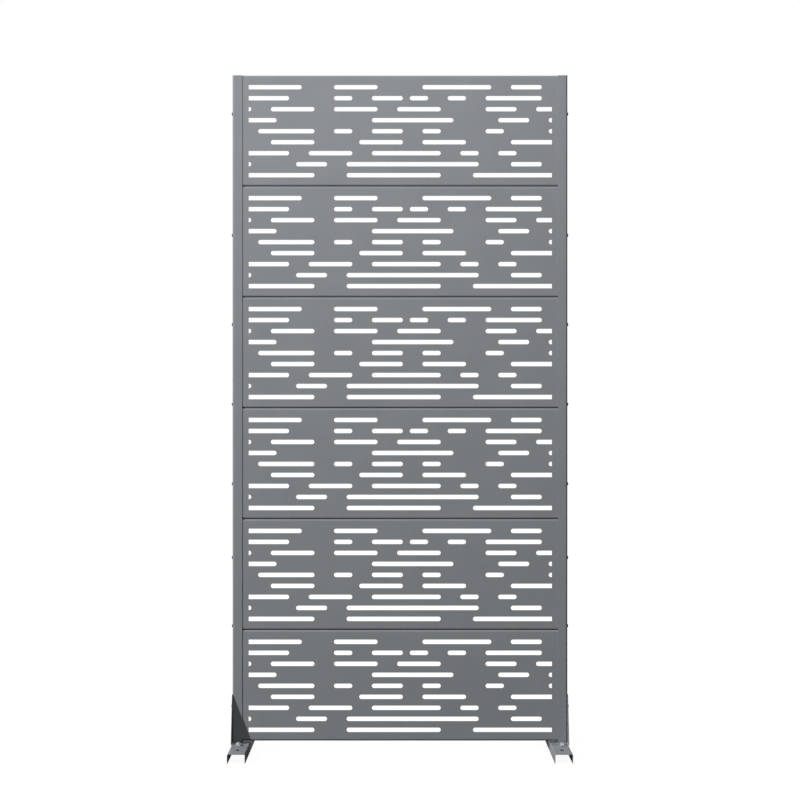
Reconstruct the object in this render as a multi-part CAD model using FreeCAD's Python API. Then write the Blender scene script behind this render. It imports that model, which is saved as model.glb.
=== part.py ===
import FreeCAD, Part
import math
import os

from FreeCAD import Vector

# A free-standing screen of slotted sheet steel. Six folded tray panels stand on one another between
# two channel posts. Each post is screwed to a gusset bracket, and the bracket is bolted to a channel foot.
# Millimetres: X runs to the right, Y to the back and Z up, from the ground midway between the two feet.

# Screen
screen_width = 906.0  # over the outer faces of the two posts
panel_lift = 2.0  # lower edge of the bottom panel above the lower ends of the posts
screen_setback = 12.5  # middle of the posts behind the middle of the feet

# Panel: a tray of sheet, folded back on all four sides
panel_height = 300.0
panel_depth = 20.0
panel_sheet = 1.0
panel_bend_inside = 5.0
panel_corner_relief = 1.0  # notch beyond the folds at each corner
panel_face_clearance = 0.3  # between the panel and each flange of a post
panel_end_clearance = 0.3  # between the panel and the web of a post

# Slots: rows of round-ended slots in a window, cut off square at the sides of the window
slot_height = 12.0
slot_side_margin = 41.5  # from the end of the panel to the window
slot_window_offset = 0.8  # of both sides of the window to the right of the column lines
slot_top_margin = 32.0  # from the upper edge of the panel to the middle of the first row
slot_bottom_margin = 30.0  # from the lower edge of the panel to the middle of the last row
slot_columns = 24  # columns across the window
slot_overhang_share = 0.225  # of a column, by which a slot runs past its first and last column line
# Rows from the top, with the first and last column line of each slot
slot_row_shares = [
    [(0, 4), (7, 10), (14, 19), (21, 23)],
    [(0, 3), (7, 8), (10, 12), (13, 14), (16, 17), (19, 23)],
    [(-1, 0), (2, 5), (7, 10), (12, 15), (19, 21), (23, 25)],
    [(0, 2), (10, 16), (20, 22), (24, 25)],
    [(1, 5), (7, 8), (10, 12), (14, 15), (19, 20), (24, 25)],
    [(2, 5), (9, 12), (14, 17), (21, 24)],
    [(0, 3), (5, 8), (10, 15), (17, 18), (20, 21)],
    [(-1, 0), (4, 6), (8, 18), (21, 23)],
    [(0, 5), (8, 15), (18, 24)],
]

# Post: a channel that takes the panel ends
post_flange = 26.0
post_sheet = 1.2
post_bend_inside = 3.8

# Foot: an inverted channel
foot_length = 330.0
foot_width = 47.5
foot_height = 25.0
foot_sheet = 1.2
foot_bend_inside = 1.8
anchor_slot_width = 9.0
anchor_slot_length = 20.0
anchor_slot_inset = 61.0  # middle of the slot from the end of the foot

# Bracket: a tapering plate outside the post, folded into a longer leg on the foot
bracket_height = 130.0  # above the foot
bracket_reach = 37.5  # of the plate at the bottom, in front of the post and behind it
bracket_top_reach = 2.0  # of the plate at the top
bracket_leg_reach = 53.0  # of the leg
bracket_leg = 30.0
bracket_sheet = 1.5
bracket_bend_inside = 1.5
bracket_corner_radius = 3.0

# Post screws: self-tapping, through the post into the end returns of the panels
screw_diameter = 4.8
screw_length = 13.0
screw_point = 4.0
screw_head_diameter = 9.2
screw_head_height = 2.75
screw_head_edge_share = 0.4  # straight part of the head's height
screw_hole_clearance = 0.1
bracket_screw_share = 0.75  # of the bracket's height, for the screw that goes through bracket and post
# Panels from the bottom, with the heights of their screws as shares of a panel
panel_screw_shares = [
    [],
    [0.652],
    [0.317],
    [0.755],
    [0.56],
    [0.655],
]
seam_screw_panels = [1, 3]  # counted from the bottom panel, 0, with one more screw near their lower edge
seam_screw_inset = 10.5  # from the lower edge of the panel

# Foot bolts: from inside the foot, with a washer and a nut on the bracket's leg
foot_bolt_diameter = 6.0
foot_bolt_flats = 10.0
foot_bolt_head_height = 4.0
foot_bolt_tail = 2.0  # beyond the nut
foot_bolt_inset = 19.0  # from the outer face of the foot
foot_bolt_end_inset = 9.5  # from the end of the bracket's leg
foot_nut_height = 5.0
foot_washer_diameter = 12.0
foot_washer_thickness = 1.6

# Seam bolts: through the returns of two panels that meet
seam_bolt_diameter = 5.0
seam_bolt_flats = 8.0
seam_bolt_head_height = 3.5
seam_bolt_tail = 2.0  # beyond the nut
seam_nut_height = 4.0
seam_bolt_shares = [-0.35, 0.0, 0.35]  # of the panel's width, from its middle

bolt_hole_clearance = 0.3
thread_clearance = 0.05
cut_overrun = 1.0

# Sizes that follow from those above
panel_count = len(panel_screw_shares)
panel_bend = panel_bend_inside + panel_sheet
post_bend = post_bend_inside + post_sheet
post_depth = panel_depth + 2 * (panel_face_clearance + post_sheet)
panel_width = screen_width - 2 * (panel_end_clearance + post_sheet)
post_bottom = foot_height + bracket_sheet + bracket_bend_inside
panel_bottom = post_bottom + panel_lift
screen_top = panel_bottom + panel_count * panel_height
panel_front = -panel_depth / 2
bracket_half_length = post_depth / 2 + bracket_reach
bracket_leg_half_length = post_depth / 2 + bracket_leg_reach
foot_bolt_x = screen_width / 2 - foot_bolt_inset
foot_bolt_y = bracket_leg_half_length - foot_bolt_end_inset
seam_bolt_y = (panel_front + panel_bend + panel_depth / 2) / 2

ORIGIN = Vector(0, 0, 0)
X_AXIS = Vector(1, 0, 0)
Y_AXIS = Vector(0, 1, 0)
Z_AXIS = Vector(0, 0, 1)


def line(start, end):
    return Part.LineSegment(start, end).toShape()


def arc(start, middle, end):
    return Part.Arc(start, middle, end).toShape()


def rounded_path(points, radius):
    """Edges of a path with square corners, each rounded to the radius."""
    edges = []
    start = points[0]
    for before, corner, after in zip(points, points[1:], points[2:]):
        back = (before - corner).normalize()
        ahead = (after - corner).normalize()
        centre = corner + (back + ahead) * radius
        middle = centre - (back + ahead).normalize() * radius
        edges.append(line(start, corner + back * radius))
        start = corner + ahead * radius
        edges.append(arc(corner + back * radius, middle, start))
    edges.append(line(start, points[-1]))
    return edges


def folded_section(outer, sheet, bend_inside, plane_normal):
    """Section of a sheet folded square along its outer path, with the sheet to the left of the path."""
    inward = [plane_normal.cross((after - before).normalize()) for before, after in zip(outer, outer[1:])]
    inner = [outer[0] + inward[0] * sheet]
    for corner, side, next_side in zip(outer[1:], inward, inward[1:]):
        inner.append(corner + (side + next_side) * sheet)
    inner.append(outer[-1] + inward[-1] * sheet)
    edges = rounded_path(outer, bend_inside + sheet)
    edges.append(line(outer[-1], inner[-1]))
    edges += rounded_path(inner[::-1], bend_inside)
    edges.append(line(inner[0], outer[0]))
    return Part.Face(Part.Wire(edges))


def slot_face(start, end, width):
    """A round-ended slot along X about the X axis."""
    radius = width / 2
    upper_left = Vector(start + radius, radius, 0)
    upper_right = Vector(end - radius, radius, 0)
    lower_left = Vector(start + radius, -radius, 0)
    lower_right = Vector(end - radius, -radius, 0)
    edges = [
        line(upper_left, upper_right),
        arc(upper_right, Vector(end, 0, 0), lower_right),
        line(lower_right, lower_left),
        arc(lower_left, Vector(start, 0, 0), upper_left),
    ]
    return Part.Face(Part.Wire(edges))


def mirrored(shape):
    """The same piece on the left of the screen."""
    return shape.mirror(ORIGIN, X_AXIS)


def panel_slots():
    """Cutters for all slots of a panel with its lower edge at height 0, within the sides of the window."""
    window = panel_width - 2 * slot_side_margin
    column = window / slot_columns
    row_pitch = (panel_height - slot_top_margin - slot_bottom_margin) / (len(slot_row_shares) - 1)
    depth = panel_sheet + 2 * cut_overrun
    window_corner = Vector(slot_window_offset, -slot_height, 0)
    window_face = Part.makePlane(window, 2 * slot_height, window_corner)
    cutters = []
    for row, slots in enumerate(slot_row_shares):
        height = panel_height - slot_top_margin - row * row_pitch
        for first, last in slots:
            start = (first - slot_overhang_share) * column
            end = (last + slot_overhang_share) * column
            face = slot_face(start, end, slot_height).common(window_face)
            cutter = face.extrude(Z_AXIS * depth)
            cutter.rotate(ORIGIN, X_AXIS, 90)
            cutter.translate(Vector(-window / 2, panel_front + panel_sheet + cut_overrun, height))
            cutters.append(cutter)
    return cutters


def panel_return_end():
    """End of the upper and lower returns, clear of the end folds and of the folds of the post."""
    panel_fold = panel_width / 2 - panel_bend
    post_fold = screen_width / 2 - post_bend
    return min(panel_fold, post_fold) - panel_corner_relief


def panel_end_return():
    """The right end of a panel, from the end of the upper and lower returns round the end fold."""
    start = panel_return_end()
    end = panel_width / 2
    back = panel_depth / 2 - post_bend
    path = [Vector(start, panel_front, 0), Vector(end, panel_front, 0), Vector(end, back, 0)]
    section = folded_section(path, panel_sheet, panel_bend_inside, Z_AXIS)
    low = panel_bend + panel_corner_relief
    section.translate(Z_AXIS * low)
    return section.extrude(Z_AXIS * (panel_height - 2 * low))


def panel_blank():
    """One slotted tray, with its lower edge at height 0 and with the holes for the seam bolts."""
    back = panel_depth / 2
    path = [
        Vector(0, back, 0),
        Vector(0, panel_front, 0),
        Vector(0, panel_front, panel_height),
        Vector(0, back, panel_height),
    ]
    section = folded_section(path, panel_sheet, panel_bend_inside, -X_AXIS)
    half_length = panel_return_end()
    section.translate(-X_AXIS * half_length)
    tray = section.extrude(X_AXIS * 2 * half_length)
    end = panel_end_return()
    tray = tray.fuse([end, mirrored(end)]).removeSplitter()
    cutters = panel_slots()
    for share in seam_bolt_shares:
        base = Vector(share * panel_width, seam_bolt_y, -cut_overrun)
        radius = seam_bolt_diameter / 2 + bolt_hole_clearance
        cutters.append(Part.makeCylinder(radius, panel_height + 2 * cut_overrun, base))
    return tray.cut(Part.makeCompound(cutters))


def post_screw_heights(panel):
    """Heights of the screws with their heads on the post, in one panel counted from the bottom panel."""
    low = panel_bottom + panel * panel_height
    heights = [low + share * panel_height for share in panel_screw_shares[panel]]
    if panel in seam_screw_panels:
        heights.insert(0, low + seam_screw_inset)
    return heights


def screw_heights(panel):
    """Heights of all screws in one panel: the bottom panel also takes the bracket's."""
    heights = post_screw_heights(panel)
    if panel == 0:
        heights.append(bracket_screw_height())
    return heights


def bracket_screw_height():
    return foot_height + bracket_screw_share * bracket_height


def screw_hole(height):
    """A cutter through both sides of the screen at one height."""
    radius = screw_diameter / 2 + screw_hole_clearance
    reach = screen_width / 2 + bracket_sheet + cut_overrun
    return Part.makeCylinder(radius, 2 * reach, Vector(-reach, 0, height), X_AXIS)


def make_panels():
    blank = panel_blank()
    panels = {}
    for panel in range(panel_count):
        tray = blank.translated(Z_AXIS * (panel_bottom + panel * panel_height))
        holes = [screw_hole(height) for height in screw_heights(panel)]
        panels[f"panel_{panel + 1}"] = tray.cut(Part.makeCompound(holes))
    return panels


def make_post():
    """The right post."""
    side = screen_width / 2
    tip = side - post_flange
    front = -post_depth / 2
    back = post_depth / 2
    path = [Vector(tip, front, 0), Vector(side, front, 0), Vector(side, back, 0), Vector(tip, back, 0)]
    section = folded_section(path, post_sheet, post_bend_inside, Z_AXIS)
    section.translate(Z_AXIS * post_bottom)
    channel = section.extrude(Z_AXIS * (screen_top - post_bottom))
    holes = [screw_hole(height) for panel in range(panel_count) for height in screw_heights(panel)]
    return channel.cut(Part.makeCompound(holes))


def make_foot():
    """The right foot."""
    outer = screen_width / 2
    inner = outer - foot_width
    path = [
        Vector(outer, 0, 0),
        Vector(outer, 0, foot_height),
        Vector(inner, 0, foot_height),
        Vector(inner, 0, 0),
    ]
    section = folded_section(path, foot_sheet, foot_bend_inside, -Y_AXIS)
    section.translate(-Y_AXIS * (foot_length / 2 + screen_setback))
    channel = section.extrude(Y_AXIS * foot_length)
    return channel.cut(Part.makeCompound(anchor_slots() + foot_bolt_holes()))


def anchor_slots():
    """Cutters for the anchor slots in front of the post and behind it."""
    half_length = anchor_slot_length / 2
    middle = screen_width / 2 - foot_width / 2
    away = foot_length / 2 - anchor_slot_inset
    cutters = []
    for place in (-away, away):
        face = slot_face(-half_length, half_length, anchor_slot_width)
        face.rotate(ORIGIN, Z_AXIS, 90)
        face.translate(Vector(middle, place - screen_setback, foot_height - foot_sheet - cut_overrun))
        cutters.append(face.extrude(Z_AXIS * (foot_sheet + 2 * cut_overrun)))
    return cutters


def foot_bolt_holes():
    """Cutters through the foot's web and the bracket's leg."""
    radius = foot_bolt_diameter / 2 + bolt_hole_clearance
    low = foot_height - foot_sheet - cut_overrun
    depth = foot_sheet + bracket_sheet + 2 * cut_overrun
    return [Part.makeCylinder(radius, depth, place + Z_AXIS * low) for place in foot_bolt_places()]


def foot_bolt_places():
    return [Vector(foot_bolt_x, -foot_bolt_y, 0), Vector(foot_bolt_x, foot_bolt_y, 0)]


def make_bracket():
    """The right bracket: a folded plate, trimmed to the tapering side view, with the longer leg joined on."""
    outer = screen_width / 2 + bracket_sheet
    inner = outer - bracket_leg
    top = foot_height + bracket_height
    path = [Vector(outer, 0, top), Vector(outer, 0, foot_height), Vector(inner, 0, foot_height)]
    section = folded_section(path, bracket_sheet, bracket_bend_inside, Y_AXIS)
    section.translate(-Y_AXIS * bracket_half_length)
    strip = section.extrude(Y_AXIS * 2 * bracket_half_length)
    plate = strip.common(bracket_side_view(inner, outer))
    bracket = plate.fuse(bracket_leg_plate(inner)).removeSplitter()
    holes = foot_bolt_holes() + [screw_hole(bracket_screw_height())]
    return bracket.cut(Part.makeCompound(holes))


def bracket_leg_plate(inner):
    """The flat of the leg, from its free side to the fold, with rounded corners."""
    width = screen_width / 2 - bracket_bend_inside - inner
    corner = Vector(inner, -bracket_leg_half_length, foot_height)
    leg = Part.makeBox(width, 2 * bracket_leg_half_length, bracket_sheet, corner)
    upright = [edge for edge in leg.Edges if edge.BoundBox.ZLength > bracket_sheet / 2]
    return leg.makeFillet(bracket_corner_radius, upright)


def bracket_side_view(inner, outer):
    """A prism across the bracket: full length up to the fold, then tapering almost to the post's depth."""
    fold_top = post_bottom
    top = foot_height + bracket_height
    half_top = post_depth / 2 + bracket_top_reach
    outline = [
        Vector(inner, -bracket_half_length, foot_height),
        Vector(inner, bracket_half_length, foot_height),
        Vector(inner, bracket_half_length, fold_top),
        Vector(inner, half_top, top),
        Vector(inner, -half_top, top),
        Vector(inner, -bracket_half_length, fold_top),
    ]
    return Part.Face(Part.makePolygon(outline + outline[:1])).extrude(X_AXIS * (outer - inner))


def make_screw():
    """A pan-head screw along X, with the underside of its head at 0 and its point towards -X."""
    radius = screw_diameter / 2
    head_radius = screw_head_diameter / 2
    edge_height = screw_head_edge_share * screw_head_height
    crown = screw_head_height - edge_height
    dome_radius = (head_radius ** 2 + crown ** 2) / (2 * crown)
    half_drop = dome_radius - math.sqrt(dome_radius ** 2 - (head_radius / 2) ** 2)
    top = Vector(screw_head_height, 0, 0)
    dome_middle = Vector(screw_head_height - half_drop, 0, head_radius / 2)
    edge_top = Vector(edge_height, 0, head_radius)
    rest = [
        edge_top,
        Vector(0, 0, head_radius),
        Vector(0, 0, radius),
        Vector(screw_point - screw_length, 0, radius),
        Vector(-screw_length, 0, 0),
        top,
    ]
    edges = [arc(top, dome_middle, edge_top)]
    edges += [line(start, end) for start, end in zip(rest, rest[1:])]
    return Part.Face(Part.Wire(edges)).revolve(ORIGIN, X_AXIS, 360)


def make_post_screws():
    """All screws of the right post: the lowest head sits on the bracket, the others on the post."""
    screw = make_screw()
    post_face = screen_width / 2
    bracket_face = post_face + bracket_sheet
    screws = [screw.translated(Vector(bracket_face, 0, bracket_screw_height()))]
    for panel in range(panel_count):
        for height in post_screw_heights(panel):
            screws.append(screw.translated(Vector(post_face, 0, height)))
    return Part.makeCompound(screws)


def hexagon(flats, height, base):
    """A hexagon prism standing on its base point."""
    radius = flats / math.sqrt(3)
    angles = [math.radians(60 * side) for side in range(7)]
    corners = [base + Vector(math.cos(angle), math.sin(angle), 0) * radius for angle in angles]
    return Part.Face(Part.makePolygon(corners)).extrude(Z_AXIS * height)


def hexagon_nut(flats, height, diameter, base):
    bore = Part.makeCylinder(diameter / 2 + thread_clearance, height, base)
    return hexagon(flats, height, base).cut(bore)


def make_foot_bolts():
    """Bolts of the right foot, heads up against the underside of its web."""
    seat = foot_height - foot_sheet
    stack = foot_sheet + bracket_sheet + foot_washer_thickness + foot_nut_height + foot_bolt_tail
    bolts = []
    for place in foot_bolt_places():
        base = place + Z_AXIS * (seat - foot_bolt_head_height)
        head = hexagon(foot_bolt_flats, foot_bolt_head_height, base)
        shank = Part.makeCylinder(foot_bolt_diameter / 2, stack, place + Z_AXIS * seat)
        bolts.append(head.fuse(shank))
    return Part.makeCompound(bolts)


def make_foot_washers():
    """Washers on the leg of the right bracket."""
    seat = Z_AXIS * (foot_height + bracket_sheet)
    washers = []
    for place in foot_bolt_places():
        disc = Part.makeCylinder(foot_washer_diameter / 2, foot_washer_thickness, place + seat)
        bore_radius = foot_bolt_diameter / 2 + bolt_hole_clearance
        washers.append(disc.cut(Part.makeCylinder(bore_radius, foot_washer_thickness, place + seat)))
    return Part.makeCompound(washers)


def make_foot_nuts():
    """Nuts on the washers of the right bracket."""
    seat = Z_AXIS * (foot_height + bracket_sheet + foot_washer_thickness)
    nuts = []
    for place in foot_bolt_places():
        nuts.append(hexagon_nut(foot_bolt_flats, foot_nut_height, foot_bolt_diameter, place + seat))
    return Part.makeCompound(nuts)


def seam_bolt_places():
    """Points on the seams between panels where the seam bolts go through."""
    places = []
    for seam in range(1, panel_count):
        height = panel_bottom + seam * panel_height
        for share in seam_bolt_shares:
            places.append(Vector(share * panel_width, seam_bolt_y, height))
    return places


def make_seam_bolts():
    """Bolts with their heads on the lower return of the upper panel."""
    below = panel_sheet + seam_nut_height + seam_bolt_tail
    bolts = []
    for place in seam_bolt_places():
        head = hexagon(seam_bolt_flats, seam_bolt_head_height, place + Z_AXIS * panel_sheet)
        shank = Part.makeCylinder(seam_bolt_diameter / 2, panel_sheet + below, place - Z_AXIS * below)
        bolts.append(head.fuse(shank))
    return Part.makeCompound(bolts)


def make_seam_nuts():
    """Nuts under the upper return of the lower panel."""
    drop = Z_AXIS * (panel_sheet + seam_nut_height)
    nuts = []
    for place in seam_bolt_places():
        nuts.append(hexagon_nut(seam_bolt_flats, seam_nut_height, seam_bolt_diameter, place - drop))
    return Part.makeCompound(nuts)


def make_pairs():
    """Pieces that stand on both sides of the screen, made for the right side."""
    right = {
        "post": make_post(),
        "foot": make_foot(),
        "bracket": make_bracket(),
        "post_screws": make_post_screws(),
        "foot_bolts": make_foot_bolts(),
        "foot_washers": make_foot_washers(),
        "foot_nuts": make_foot_nuts(),
    }
    pairs = {f"{name}_right": shape for name, shape in right.items()}
    pairs.update({f"{name}_left": mirrored(shape) for name, shape in right.items()})
    return pairs


def main():
    pieces = make_panels()
    pieces.update(make_pairs())
    pieces["seam_bolts"] = make_seam_bolts()
    pieces["seam_nuts"] = make_seam_nuts()
    os.makedirs("parts", exist_ok=True)
    for name, piece in pieces.items():
        shape = piece.translated(Y_AXIS * screen_setback)
        shape.exportStep(f"parts/{name}.step")
        print(name, len(shape.Solids), "solids", round(shape.Volume), "mm3", "valid", shape.isValid())


main()
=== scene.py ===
# %% [markdown]
# # A slotted steel screen
# The construction model comes in as a fixed frame: every sheet, bolt and screw at its real size, in
# metres, standing on the floor with its front towards -Y. The folded sheets keep their exact construction
# meshes and get their finish here. The screws, bolts, nuts and washers are modelled again with threads
# and chamfers.

# %% Load the frame
import math

import bpy
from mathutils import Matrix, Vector


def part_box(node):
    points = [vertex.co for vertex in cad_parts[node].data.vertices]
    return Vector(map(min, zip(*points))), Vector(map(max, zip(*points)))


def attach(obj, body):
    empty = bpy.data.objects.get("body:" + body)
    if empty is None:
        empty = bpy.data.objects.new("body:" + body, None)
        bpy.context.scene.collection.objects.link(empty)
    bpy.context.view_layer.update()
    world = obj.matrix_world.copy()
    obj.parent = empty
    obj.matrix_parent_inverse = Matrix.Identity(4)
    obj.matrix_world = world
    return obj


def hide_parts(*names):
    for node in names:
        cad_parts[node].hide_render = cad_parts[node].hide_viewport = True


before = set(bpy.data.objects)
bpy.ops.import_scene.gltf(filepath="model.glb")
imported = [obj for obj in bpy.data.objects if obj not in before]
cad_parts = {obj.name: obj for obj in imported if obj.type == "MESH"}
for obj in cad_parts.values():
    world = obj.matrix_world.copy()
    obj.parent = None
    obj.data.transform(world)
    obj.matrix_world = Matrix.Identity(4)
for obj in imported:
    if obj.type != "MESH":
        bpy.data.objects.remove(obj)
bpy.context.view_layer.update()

MM = 0.001
scene = bpy.context.scene
bpy.ops.object.select_all(action="DESELECT")

# %% [markdown]
# ## Powder coat
# The sheets are sprayed with powder and baked. The skin is a dull grey with a fine orange peel, a little
# cloudiness in the colour and slightly uneven gloss. An image could be wrapped round each sheet, but it
# would show seams at the folds. Three noises on the object's own coordinates give the same: a wide one
# for the colour, a middle one for the gloss and a very fine one for the bump, so nothing repeats from
# panel to panel.

# %% Materials from noise
noise_range = (0.3, 0.7)  # most of a noise lies between these values


def new_material(name):
    """A node material, with its Principled shader and a node for the object's own coordinates."""
    material = bpy.data.materials.new(name)
    material.use_nodes = True
    nodes = material.node_tree.nodes
    coordinates = nodes.new("ShaderNodeTexCoord")
    links = material.node_tree.links
    return material, nodes, links, nodes["Principled BSDF"], coordinates.outputs["Object"]


def noise(nodes, links, vector, scale, detail):
    """A noise texture on the given coordinates."""
    texture = nodes.new("ShaderNodeTexNoise")
    texture.inputs["Scale"].default_value = scale
    texture.inputs["Detail"].default_value = detail
    links.new(vector, texture.inputs["Vector"])
    return texture.outputs["Fac"]


def tinted(nodes, links, value, darker, lighter):
    """A colour that runs from darker to lighter with a noise."""
    ramp = nodes.new("ShaderNodeValToRGB")
    for stop, position, colour in zip(ramp.color_ramp.elements, noise_range, (darker, lighter)):
        stop.position = position
        stop.color = (*colour, 1)
    links.new(value, ramp.inputs["Fac"])
    return ramp.outputs["Color"]


def mapped(nodes, links, value, source, target):
    """A number that is carried from one range to another."""
    spread = nodes.new("ShaderNodeMapRange")
    spread.inputs["From Min"].default_value = source[0]
    spread.inputs["From Max"].default_value = source[1]
    spread.inputs["To Min"].default_value = target[0]
    spread.inputs["To Max"].default_value = target[1]
    links.new(value, spread.inputs["Value"])
    return spread.outputs["Result"]


def bumped(nodes, links, height, strength, distance):
    """A normal that follows a fine noise."""
    bump = nodes.new("ShaderNodeBump")
    bump.inputs["Strength"].default_value = strength
    bump.inputs["Distance"].default_value = distance
    links.new(height, bump.inputs["Height"])
    return bump.outputs["Normal"]


# %% Powder coat
coat_darker = (0.203, 0.215, 0.227)
coat_lighter = (0.217, 0.229, 0.241)
coat_roughness = (0.72, 0.86)
powder_coat, nodes, links, shader, place = new_material("powder_coat")
clouds = noise(nodes, links, place, scale=9.0, detail=3.0)
links.new(tinted(nodes, links, clouds, coat_darker, coat_lighter), shader.inputs["Base Color"])
gloss = noise(nodes, links, place, scale=60.0, detail=2.0)
links.new(mapped(nodes, links, gloss, noise_range, coat_roughness), shader.inputs["Roughness"])
shader.inputs["Specular IOR Level"].default_value = 0.02
peel = noise(nodes, links, place, scale=700.0, detail=2.0)
links.new(bumped(nodes, links, peel, strength=0.5, distance=0.3 * MM), shader.inputs["Normal"])
sheet_pieces = ["bracket_left", "bracket_right", "foot_left", "foot_right", "post_left", "post_right"]
sheet_pieces += [f"panel_{number}" for number in range(1, 7)]
for name in sheet_pieces:
    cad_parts[name].data.materials[0] = powder_coat
print("powder coat on", len(sheet_pieces), "sheet pieces")

# %% [markdown]
# ## Zinc and black screws
# The bolts, nuts and washers are bright zinc plated, a thin bluish metal skin with a cloudy gloss. The
# self-tapping screws are blackened steel, nearly black, with a dull sheen that is rubbed a little
# brighter in places. One flat colour could do for such small pieces, but looks like plastic close up, so
# both get the same three noises again, much finer.

# %% Zinc
zinc_darker = (0.5, 0.51, 0.53)
zinc_lighter = (0.62, 0.63, 0.65)
zinc_roughness = (0.42, 0.58)
bright_zinc, nodes, links, shader, place = new_material("bright_zinc")
shader.inputs["Metallic"].default_value = 1.0
clouds = noise(nodes, links, place, scale=500.0, detail=3.0)
links.new(tinted(nodes, links, clouds, zinc_darker, zinc_lighter), shader.inputs["Base Color"])
gloss = noise(nodes, links, place, scale=900.0, detail=2.0)
links.new(mapped(nodes, links, gloss, noise_range, zinc_roughness), shader.inputs["Roughness"])
grain = noise(nodes, links, place, scale=3000.0, detail=2.0)
links.new(bumped(nodes, links, grain, strength=0.05, distance=0.1 * MM), shader.inputs["Normal"])
print("material:", bright_zinc.name)

# %% Black screws
black_darker = (0.013, 0.013, 0.014)
black_lighter = (0.03, 0.03, 0.032)
black_roughness = (0.4, 0.6)
black_screw, nodes, links, shader, place = new_material("black_screw")
rubs = noise(nodes, links, place, scale=700.0, detail=4.0)
links.new(tinted(nodes, links, rubs, black_darker, black_lighter), shader.inputs["Base Color"])
gloss = noise(nodes, links, place, scale=1200.0, detail=2.0)
links.new(mapped(nodes, links, gloss, noise_range, black_roughness), shader.inputs["Roughness"])
shader.inputs["Specular IOR Level"].default_value = 0.3
grain = noise(nodes, links, place, scale=4000.0, detail=2.0)
links.new(bumped(nodes, links, grain, strength=0.06, distance=0.1 * MM), shader.inputs["Normal"])
print("material:", black_screw.name)

# %% [markdown]
# ## Places of the fasteners
# Every screw, bolt, nut and washer has its solid in the construction model. Their coordinates fall into
# groups along an axis, one group for each piece, so the modelled pieces can be set exactly where those
# solids are. Typed coordinates would do the same, but would have to be changed with every change of the
# frame.

# %% Places of the fasteners
X, Y, Z = 0, 1, 2
row_gap = 20 * MM  # more than this lies between two pieces, and less between the points of one


def groups(node, axis):
    """The low and high end of each group of coordinates of a construction piece along one axis."""
    values = sorted(vertex.co[axis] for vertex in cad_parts[node].data.vertices)
    ends = [[values[0], values[0]]]
    for value in values:
        if value - ends[-1][1] > row_gap:
            ends.append([value, value])
        ends[-1][1] = value
    return ends


for node in ("post_screws_right", "foot_bolts_right", "seam_bolts"):
    print(node, "groups:", [len(groups(node, axis)) for axis in (X, Y, Z)])

# %% [markdown]
# ## Turned bodies
# Screws, bolts and washers are turned or rolled parts, round about an axis. A profile could be spun round
# that axis. Here each starts as a circle, and its face, or its edge for a ring, is extruded and scaled
# from one station to the next, which closes the ends by itself.

# %% Turned bodies
round_sides = 40
merge_distance = 0.0005 * MM


def settle():
    """Put the place, the turn and the scale of the active piece into its mesh."""
    bpy.ops.object.transform_apply(location=True, rotation=True, scale=True)


def edit_all():
    """Enter edit mode with every point of the active piece selected."""
    bpy.ops.object.mode_set(mode="EDIT")
    bpy.ops.mesh.select_mode(type="VERT")
    bpy.ops.mesh.select_all(action="SELECT")


def close_piece():
    """Merge what lies on itself, point all faces outwards and leave edit mode."""
    bpy.ops.mesh.select_mode(type="VERT")
    bpy.ops.mesh.select_all(action="SELECT")
    bpy.ops.mesh.remove_doubles(threshold=merge_distance)
    bpy.ops.mesh.normals_make_consistent(inside=False)
    bpy.ops.object.mode_set(mode="OBJECT")


def start_circle(name, radius, height, sides, fill):
    """A circle round the Z axis, left in edit mode with all of it selected."""
    bpy.ops.object.select_all(action="DESELECT")
    place = (0, 0, height)
    bpy.ops.mesh.primitive_circle_add(vertices=sides, radius=radius, fill_type=fill, location=place)
    piece = bpy.context.object
    piece.name = name
    settle()
    edit_all()
    return piece


def extrude_through(stations):
    """Extrude the selection from the first (radius, height) station through all the others."""
    for (radius, height), (next_radius, next_height) in zip(stations, stations[1:]):
        bpy.ops.mesh.extrude_region_move(TRANSFORM_OT_translate={"value": (0, 0, next_height - height)})
        ratio = next_radius / radius
        bpy.ops.transform.resize(value=(ratio, ratio, 1), center_override=(0, 0, next_height))


def turned(name, stations, sides=round_sides):
    """A solid body of revolution."""
    piece = start_circle(name, *stations[0], sides, "NGON")
    extrude_through(stations)
    close_piece()
    return piece


def turned_ring(name, stations):
    """A ring: the edge loop goes once round its section and closes on itself."""
    piece = start_circle(name, *stations[0], round_sides, "NOTHING")
    extrude_through(stations + stations[:1])
    close_piece()
    return piece


# %% [markdown]
# ## Cutting, turning and copying
# A hexagon's chamfer, a cross recess and a thread's end are cuts of one closed body by another. Bevels
# and insets could come near them, but the Boolean modifier gives the true curve where two bodies meet. It
# is applied at once and the tool is thrown away, so that a finished piece has no live modifiers. A piece
# that repeats is modelled once, copied to its places and joined into one object.

# %% Cutting and turning
def pick(piece):
    """Make a piece the active one and the only one selected."""
    bpy.ops.object.select_all(action="DESELECT")
    bpy.context.view_layer.objects.active = piece
    piece.select_set(True)


def combine(piece, tool, operation):
    """Apply a Boolean of two closed bodies, clean the seam it leaves and remove the tool."""
    pick(piece)
    bpy.ops.object.modifier_add(type="BOOLEAN")
    cut = piece.modifiers[-1]
    cut.operation = operation
    cut.solver = "EXACT"
    cut.object = tool
    bpy.ops.object.modifier_apply(modifier=cut.name)
    bpy.data.objects.remove(tool)
    edit_all()
    bpy.ops.mesh.dissolve_degenerate(threshold=merge_distance)
    close_piece()


def turn(piece, angle, axis):
    """Turn a piece's mesh about an axis through the origin."""
    pick(piece)
    piece.rotation_euler[axis] = angle
    settle()


# %% Copies in place
smooth_angle = math.radians(32)


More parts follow.
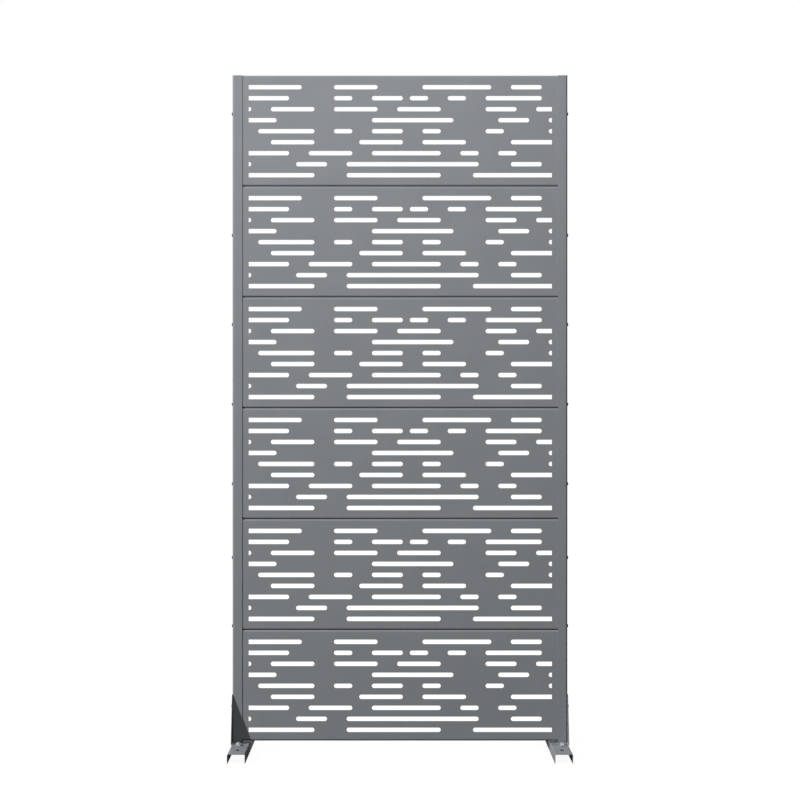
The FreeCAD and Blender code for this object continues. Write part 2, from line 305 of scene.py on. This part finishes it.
def copies_at(name, piece, places):
    """Copy a piece to every place, join the copies into one object and remove the pattern."""
    copies = []
    for spot in places:
        pick(piece)
        bpy.ops.object.duplicate(linked=False)
        bpy.context.object.location = spot
        copies.append(bpy.context.object)
    bpy.ops.object.select_all(action="DESELECT")
    for copy in copies:
        copy.select_set(True)
    bpy.context.view_layer.objects.active = copies[0]
    bpy.ops.object.join()
    group = bpy.context.object
    group.name = name
    settle()
    bpy.data.objects.remove(piece)
    return group


def open_points(piece):
    """How many points of a mesh lie on an edge that doesn't join exactly two faces."""
    bpy.ops.object.mode_set(mode="EDIT")
    bpy.ops.mesh.select_mode(type="VERT")
    bpy.ops.mesh.select_all(action="DESELECT")
    bpy.ops.mesh.select_non_manifold()
    bpy.ops.object.mode_set(mode="OBJECT")
    return sum(vertex.select for vertex in piece.data.vertices)


def fit(group, node, material):
    """Finish a group of fasteners, let it stand for its construction piece and compare their boxes."""
    bpy.ops.object.shade_smooth_by_angle(angle=smooth_angle)
    group.data.materials.clear()
    group.data.materials.append(material)
    low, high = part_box(node)
    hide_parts(node)
    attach(group, "root")
    for axis in (X, Y, Z):
        values = [vertex.co[axis] for vertex in group.data.vertices]
        print(f"{group.name} {'XYZ'[axis]} {min(values) / MM:.2f} to {max(values) / MM:.2f} mm in",
              f"{low[axis] / MM:.2f} to {high[axis] / MM:.2f}")
    print(group.name, "faces:", len(group.data.polygons), "open points:", open_points(group))


# %% [markdown]
# ## Threads
# A thread is a profile of one root, one crest and the two flanks between, carried round the shank while
# it climbs by one pitch a turn. A bump in the finish could hint at it, but wouldn't show in the outline,
# so it is made by the Screw modifier, which does just that. The top of each turn meets the foot of the
# next and is merged with it, so that the whole is one tube. Bisect cuts both ends flat and fills them. A
# turned body, a little wider than the crests, then cuts the chamfered end of a bolt or the point of a
# screw.

# %% Threads
turn_steps = 24
turns_below = 2.01  # from the tube's start to the lower cut, uneven so that no point lies on the cut
extra_turns = 4  # so that the tube also ends above the upper cut
crest_share = 0.08  # of the pitch
cut_distance = 0.0001 * MM


def cut_ends(low, high):
    """Cut the piece in edit mode flat at two heights and fill the cuts."""
    cut = {"plane_no": (0, 0, 1), "use_fill": True, "threshold": cut_distance}
    bpy.ops.mesh.select_all(action="SELECT")
    bpy.ops.mesh.bisect(plane_co=(0, 0, low), clear_inner=True, **cut)
    bpy.ops.mesh.select_all(action="SELECT")
    bpy.ops.mesh.bisect(plane_co=(0, 0, high), clear_outer=True, **cut)


def threaded_rod(name, core, crest, pitch, root_share, low, high):
    """A closed threaded rod round the Z axis, from one height to another."""
    root = root_share * pitch
    tip = crest_share * pitch
    flank = (pitch - root - tip) / 2
    depth = crest - core
    bpy.ops.object.select_all(action="DESELECT")
    bpy.ops.mesh.primitive_plane_add(size=pitch, location=(0, 0, 0))
    rod = bpy.context.object
    rod.name = name
    edit_all()
    bpy.ops.mesh.merge(type="CENTER")
    bpy.ops.transform.translate(value=(core, 0, low - turns_below * pitch))
    for outwards, upwards in ((0, root), (depth, flank), (0, tip), (-depth, flank)):
        bpy.ops.mesh.extrude_region_move(TRANSFORM_OT_translate={"value": (outwards, 0, upwards)})
    bpy.ops.object.mode_set(mode="OBJECT")
    bpy.ops.object.modifier_add(type="SCREW")
    climb = rod.modifiers[-1]
    climb.axis = "Z"
    climb.screw_offset = pitch
    climb.iterations = math.ceil((high - low) / pitch) + extra_turns
    climb.steps = turn_steps
    climb.render_steps = turn_steps
    bpy.ops.object.modifier_apply(modifier=climb.name)
    edit_all()
    bpy.ops.mesh.remove_doubles(threshold=merge_distance)
    cut_ends(low, high)
    close_piece()
    return rod


# %% [markdown]
# ## Post screws
# The panels are held to the posts by self-tapping screws with low domed heads, driven in from the sides.
# The head is turned from a profile, a tapered cross recess is cut into its top, and the coarse thread
# runs into a point. A screw could be modelled where it lies, but upright all its scaling is about Z, so
# one is made upright, then laid along X and copied to the eight heights of each side.

# %% Post screws
head_radius = 4.6 * MM
head_height = 2.75 * MM
head_edge = 1.1 * MM
screw_crest = 2.4 * MM
screw_core = 1.75 * MM
screw_pitch = 1.6 * MM
screw_root_share = 0.45  # of the pitch
shank_length = 13.0 * MM
point_length = 4.0 * MM
sunk = 0.2 * MM  # part of a shank inside its head
clear_of_crests = 1.1  # radius of a cutting body, in crest radii


def screw_head():
    """A pan head that stands on the plane of its underside."""
    crown = 2.2 * MM
    rim = 0.15 * MM
    dome_degrees = range(12, 91, 13)
    stations = [(head_radius - rim, 0.0), (head_radius, rim), (head_radius, head_edge)]
    for degrees in dome_degrees:
        angle = math.radians(degrees)
        radius = crown + (head_radius - crown) * math.cos(angle)
        stations.append((radius, head_edge + (head_height - head_edge) * math.sin(angle)))
    return turned("pan_head", stations)


def recess_wing(angle):
    """One bar of the cross recess, narrower and shorter at its foot."""
    length, width, depth = 4.6 * MM, 0.95 * MM, 1.9 * MM
    bar = (length, width, 2 * depth)
    foot_scale = (0.3, 0.7, 1)
    facing_down = -0.5
    bpy.ops.object.select_all(action="DESELECT")
    bpy.ops.mesh.primitive_cube_add(size=1.0, location=(0, 0, head_height), scale=bar)
    wing = bpy.context.object
    settle()
    bpy.ops.object.mode_set(mode="EDIT")
    bpy.ops.mesh.select_mode(type="FACE")
    bpy.ops.mesh.select_all(action="DESELECT")
    bpy.ops.object.mode_set(mode="OBJECT")
    for face in wing.data.polygons:
        face.select = face.normal.z < facing_down
    bpy.ops.object.mode_set(mode="EDIT")
    bpy.ops.transform.resize(value=foot_scale, center_override=(0, 0, 0))
    close_piece()
    turn(wing, angle, Z)
    return wing


def post_screw():
    """The whole screw, its axis on Z and its point downwards."""
    tip = 0.3 * MM
    wide = clear_of_crests * screw_crest
    past_tip = -shank_length - screw_pitch
    thread = (screw_core, screw_crest, screw_pitch, screw_root_share)
    screw = threaded_rod("post_screw", *thread, past_tip, sunk)
    point = [(tip, -shank_length), (wide, point_length - shank_length), (wide, head_height)]
    combine(screw, turned("point", point), "INTERSECT")
    head = screw_head()
    combine(head, recess_wing(0.0), "DIFFERENCE")
    combine(head, recess_wing(math.pi / 2), "DIFFERENCE")
    combine(screw, head, "UNION")
    return screw


# %% Post screws in place
def screw_places(node, side):
    """Where the underside of each head lies, one height after another."""
    box_low, box_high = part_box(node)
    depth = (box_low.y + box_high.y) / 2
    places = []
    for low, high in groups(node, Z):
        reach = [side * v.co.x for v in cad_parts[node].data.vertices if low <= v.co.z <= high]
        places.append((side * (max(reach) - head_height), depth, (low + high) / 2))
    return places


for side, node in ((1, "post_screws_right"), (-1, "post_screws_left")):
    screw = post_screw()
    turn(screw, side * math.pi / 2, Y)
    places = screw_places(node, side)
    group = copies_at(node.replace("post_screws", "black_post_screws"), screw, places)
    fit(group, node, black_screw)

# %% [markdown]
# ## Hexagon bolts and nuts
# The heads and nuts are hexagons whose corners are turned off by a flat cone. A hexagon is a circle with
# six sides, and the cone is a turned lens that it is intersected with. A bevel would cut all corners
# alike and miss the arcs that a lathe leaves on the flats. The nut is then bored and countersunk on both
# faces.

# %% Hexagons
lens_sides = 47  # an odd number, so that its corners don't meet those of the hexagon
crown_share = 0.47  # radius of the round face, of the width across the flats
lens_reach = 1.06  # widest radius of the lens, of the corner's radius
cone_slope = math.tan(math.radians(30))


def hexagon(name, across_flats, low, high, chamfer_low, chamfer_high):
    """A hexagon with its corners along X, chamfered below, above or on both faces."""
    corner = across_flats / 2 / math.cos(math.pi / 6)
    crown = crown_share * across_flats
    wide = lens_reach * corner
    rise = (wide - crown) * cone_slope
    over = 0.2 * MM
    past_crown = crown - over / cone_slope
    body = turned(name, [(corner, low), (corner, high)], sides=6)
    turn(body, math.pi / 6, Z)
    foot = (past_crown if chamfer_low else wide, low - over)
    top = (past_crown if chamfer_high else wide, high + over)
    lens = [foot, (wide, low + rise), (wide, high - rise), top]
    combine(body, turned("lens", lens, lens_sides), "INTERSECT")
    return body


# %% Bolts and nuts
thread_depth = 0.61  # of the pitch
bolt_root_share = 0.14  # of the pitch


def hexagon_bolt(name, across_flats, head, diameter, length, pitch):
    """A bolt with the top of its shank upwards and the seat of its head at height 0."""
    crest = diameter / 2
    core = crest - thread_depth * pitch
    wide = clear_of_crests * crest
    end = core - 0.1 * MM
    bolt = threaded_rod(name, core, crest, pitch, bolt_root_share, -sunk, length + pitch)
    chamfer = [(wide, -head), (wide, length - (wide - end)), (end, length)]
    combine(bolt, turned("chamfer", chamfer), "INTERSECT")
    combine(bolt, hexagon("hexagon_head", across_flats, -head, 0.0, True, False), "UNION")
    return bolt


def hexagon_nut(name, across_flats, height, diameter):
    """A nut that stands on the origin."""
    bore = diameter / 2
    sink = 0.5 * MM
    over = 0.1 * MM
    mouth = bore + sink + over
    nut = hexagon(name, across_flats, 0.0, height, True, True)
    drill = [(mouth, -over), (bore, sink), (bore, height - sink), (mouth, height + over)]
    combine(nut, turned("drill", drill), "DIFFERENCE")
    return nut


# %% [markdown]
# ## Bolts of the feet
# Each bracket leg is bolted to its foot by two bolts put through from inside the channel, with a washer
# and a nut on top, where the photograph shows them shine. A washer could be a bevelled tube. As a ring
# whose edge goes once round its section, it gets the softened edges of a punched and plated one at once.

# %% Bolts of the feet
foot_flats = 10.0 * MM
foot_head = 4.0 * MM
foot_thread = 6.0 * MM
foot_pitch = 1.0 * MM


def rows_along_y(node):
    """The X and Y of each piece of a node with two pieces, one behind the other."""
    low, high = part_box(node)
    return [((low.x + high.x) / 2, (start + end) / 2) for start, end in groups(node, Y)]


for side in ("right", "left"):
    low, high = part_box(f"foot_bolts_{side}")
    seat = low.z + foot_head
    bolt = hexagon_bolt("foot_bolt", foot_flats, foot_head, foot_thread, high.z - seat, foot_pitch)
    places = [(x, y, seat) for x, y in rows_along_y(f"foot_bolts_{side}")]
    group = copies_at(f"zinc_foot_bolts_{side}", bolt, places)
    fit(group, f"foot_bolts_{side}", bright_zinc)

# %% Washers and nuts of the feet
washer_radius = 6.0 * MM
washer_bore = 3.3 * MM


def washer(name, outer, bore, thickness):
    """A flat ring with softened edges that stands on the origin."""
    soft = 0.15 * MM
    section = [(outer - soft, 0.0), (outer, soft), (outer, thickness - soft), (outer - soft, thickness),
               (bore + soft, thickness), (bore, thickness - soft), (bore, soft), (bore + soft, 0.0)]
    return turned_ring(name, section)


for side in ("right", "left"):
    low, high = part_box(f"foot_washers_{side}")
    ring = washer("foot_washer", washer_radius, washer_bore, high.z - low.z)
    places = [(x, y, low.z) for x, y in rows_along_y(f"foot_washers_{side}")]
    group = copies_at(f"zinc_foot_washers_{side}", ring, places)
    fit(group, f"foot_washers_{side}", bright_zinc)
    low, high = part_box(f"foot_nuts_{side}")
    nut = hexagon_nut("foot_nut", foot_flats, high.z - low.z, foot_thread)
    places = [(x, y, low.z) for x, y in rows_along_y(f"foot_nuts_{side}")]
    group = copies_at(f"zinc_foot_nuts_{side}", nut, places)
    fit(group, f"foot_nuts_{side}", bright_zinc)

# %% [markdown]
# ## Bolts of the seams
# Behind each seam, three bolts hold the lower return of a panel to the upper return of the one below.
# Plain pegs could do from the front, but the back is seen too, so these are real bolts. They are dropped
# in from above: the bolt is made with its shank upwards, turned over and copied along the seams.

# %% Bolts of the seams
seam_flats = 8.0 * MM
seam_head = 3.5 * MM
seam_thread = 5.0 * MM
seam_pitch = 0.8 * MM
low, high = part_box("seam_bolts")
depth = (low.y + high.y) / 2
bolt_spans = groups("seam_bolts", Z)
bolt_columns = [(start + end) / 2 for start, end in groups("seam_bolts", X)]
bolt_length = bolt_spans[0][1] - bolt_spans[0][0] - seam_head
bolt = hexagon_bolt("seam_bolt", seam_flats, seam_head, seam_thread, bolt_length, seam_pitch)
turn(bolt, math.pi, X)
places = [(x, depth, end - seam_head) for start, end in bolt_spans for x in bolt_columns]
fit(copies_at("zinc_seam_bolts", bolt, places), "seam_bolts", bright_zinc)

# %% Nuts of the seams
nut_spans = groups("seam_nuts", Z)
nut = hexagon_nut("seam_nut", seam_flats, nut_spans[0][1] - nut_spans[0][0], seam_thread)
places = [(x, depth, start) for start, end in nut_spans for x in bolt_columns]
fit(copies_at("zinc_seam_nuts", nut, places), "seam_nuts", bright_zinc)

# %% [markdown]
# ## Floor
# A white studio floor that runs on behind the screen. To the camera and in reflections it glows a plain
# white, a little darker close to the feet, while its weak diffuse part still takes the shadow of the
# screen. Brighter lamps would whiten it too, but would wash out the screen. Under the closed middle of
# the feet the glow is masked off, a painted shadow, so that the anchor slots look into the dark.

# %% Arithmetic on sockets
def calculate(nodes, links, operation, first, second=None):
    """A Math node on sockets or plain numbers."""
    math_node = nodes.new("ShaderNodeMath")
    math_node.operation = operation
    for socket, value in zip(math_node.inputs, (first, second)):
        if isinstance(value, (int, float)):
            socket.default_value = value
        elif value is not None:
            links.new(value, socket)
    return math_node.outputs[0]


def seen_directly(nodes, links):
    """1 for rays that show the background itself, 0 for those that only carry its light."""
    rays = nodes.new("ShaderNodeLightPath").outputs
    camera_or_glossy = calculate(nodes, links, "MAXIMUM", rays["Is Camera Ray"], rays["Is Glossy Ray"])
    return calculate(nodes, links, "MAXIMUM", camera_or_glossy, rays["Is Transmission Ray"])


def between(nodes, links, value, low, high):
    """1 where a value lies between two limits."""
    distance = calculate(nodes, links, "SUBTRACT", value, (low + high) / 2)
    size = calculate(nodes, links, "ABSOLUTE", distance)
    return calculate(nodes, links, "LESS_THAN", size, (high - low) / 2)


# %% Floor
floor_size = 120.0
floor_grey = (0.08, 0.08, 0.08, 1)
glow_radii = (0.6, 3.0)
glow_levels = (0.95, 1.0)
bpy.ops.object.select_all(action="DESELECT")
bpy.ops.mesh.primitive_plane_add(size=floor_size, location=(0, 0, 0))
floor = bpy.context.object
floor.name = "floor"
material, nodes, links, shader, place = new_material("floor")
nodes.remove(shader)
radius = nodes.new("ShaderNodeVectorMath")
radius.operation = "LENGTH"
links.new(place, radius.inputs[0])
fade = mapped(nodes, links, radius.outputs["Value"], glow_radii, glow_levels)
level = calculate(nodes, links, "MULTIPLY", fade, seen_directly(nodes, links))
diffuse = nodes.new("ShaderNodeBsdfDiffuse")
diffuse.inputs["Color"].default_value = floor_grey
print("floor:", floor.dimensions[:], "glow:", glow_levels)

# %% Painted shadow under the feet
# A strip under the middle of each foot, between these two depths, gets no glow: a painted shadow.
painted_shadow_front = -0.03
painted_shadow_back = 0.08
foot_low, foot_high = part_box("foot_right")
split = nodes.new("ShaderNodeSeparateXYZ")
links.new(place, split.inputs[0])
either_side = calculate(nodes, links, "ABSOLUTE", split.outputs["X"])
across = between(nodes, links, either_side, foot_low.x, foot_high.x)
along = between(nodes, links, split.outputs["Y"], painted_shadow_front, painted_shadow_back)
# 1 on the open floor, 0 inside the painted shadow under the feet.
outside_painted_shadow = calculate(nodes, links, "SUBTRACT", 1.0, calculate(nodes, links, "MULTIPLY", across, along))
glow = nodes.new("ShaderNodeEmission")
links.new(calculate(nodes, links, "MULTIPLY", level, outside_painted_shadow), glow.inputs["Strength"])
both = nodes.new("ShaderNodeAddShader")
links.new(diffuse.outputs[0], both.inputs[0])
links.new(glow.outputs[0], both.inputs[1])
links.new(both.outputs[0], nodes["Material Output"].inputs["Surface"])
floor.data.materials.append(material)
print("dark under the feet from y", painted_shadow_front, "to", painted_shadow_back)

# %% [markdown]
# ## Light and camera
# The backdrop is white where it is seen and gives very little light of its own, because a bright world
# would drown the shadows. One lamp from the upper left throws the shadow of the bracket, and a second one
# above the screen lights it from the front, more at the top. Two weak ones behind the plane of the panels
# show their backs and the right side of the screen, and don't reach the front. The camera stands straight
# in front, at the height of the photograph's horizon.

# %% World
backdrop_levels = (0.01, 1.0)  # as a light, and where it is seen
world = bpy.data.worlds.new("studio")
scene.world = world
world.use_nodes = True
nodes = world.node_tree.nodes
links = world.node_tree.links
backdrop = nodes["Background"]
backdrop.inputs["Color"].default_value = (1, 1, 1, 1)
strength = mapped(nodes, links, seen_directly(nodes, links), (0.0, 1.0), backdrop_levels)
links.new(strength, backdrop.inputs["Strength"])
print("backdrop:", backdrop_levels)

# %% Lamps
disk_width = 0.6
fill_radius = 0.3
fill_power = 152.0
screen_middle = (0.0, 0.0, 0.9)
right_post_middle = (0.45, 0.0, 0.9)
panel_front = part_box("panel_1")[0].y


def disk_lamp(name, location, power, target):
    """A round lamp that looks at a target."""
    bpy.ops.object.light_add(type="AREA", location=location)
    lamp = bpy.context.object
    lamp.name = name
    lamp.data.shape = "DISK"
    lamp.data.size = disk_width
    lamp.data.energy = power
    lamp.rotation_euler = (Vector(target) - lamp.location).to_track_quat("-Z", "Y").to_euler()
    return lamp


key = disk_lamp("key", location=(-10.65, panel_front - 5.84, 6.45), power=2310.0, target=screen_middle)
bpy.ops.object.light_add(type="POINT", location=(-0.34, panel_front - 1.94, 3.02))
fill = bpy.context.object
fill.name = "fill"
fill.data.shadow_soft_size = fill_radius
fill.data.energy = fill_power
back = disk_lamp("back", location=(-0.8, 4.46, 3.0), power=120.0, target=screen_middle)
side_lamp = disk_lamp("side", location=(4.35, 2.73, 3.65), power=130.0, target=right_post_middle)
print("lamps:", [(lamp.name, lamp.data.energy) for lamp in (key, fill, back, side_lamp)])

# %% Camera
camera_distance = 5.108
camera_height = 0.952
level_view = (math.pi / 2, 0, 0)
bpy.ops.object.camera_add(location=(0.0, panel_front - camera_distance, camera_height), rotation=level_view)
camera = bpy.context.object
camera.data.lens = 85.0
camera.data.sensor_width = 36.0
scene.camera = camera
scene.view_settings.view_transform = "Standard"
print("camera:", camera.location[:])
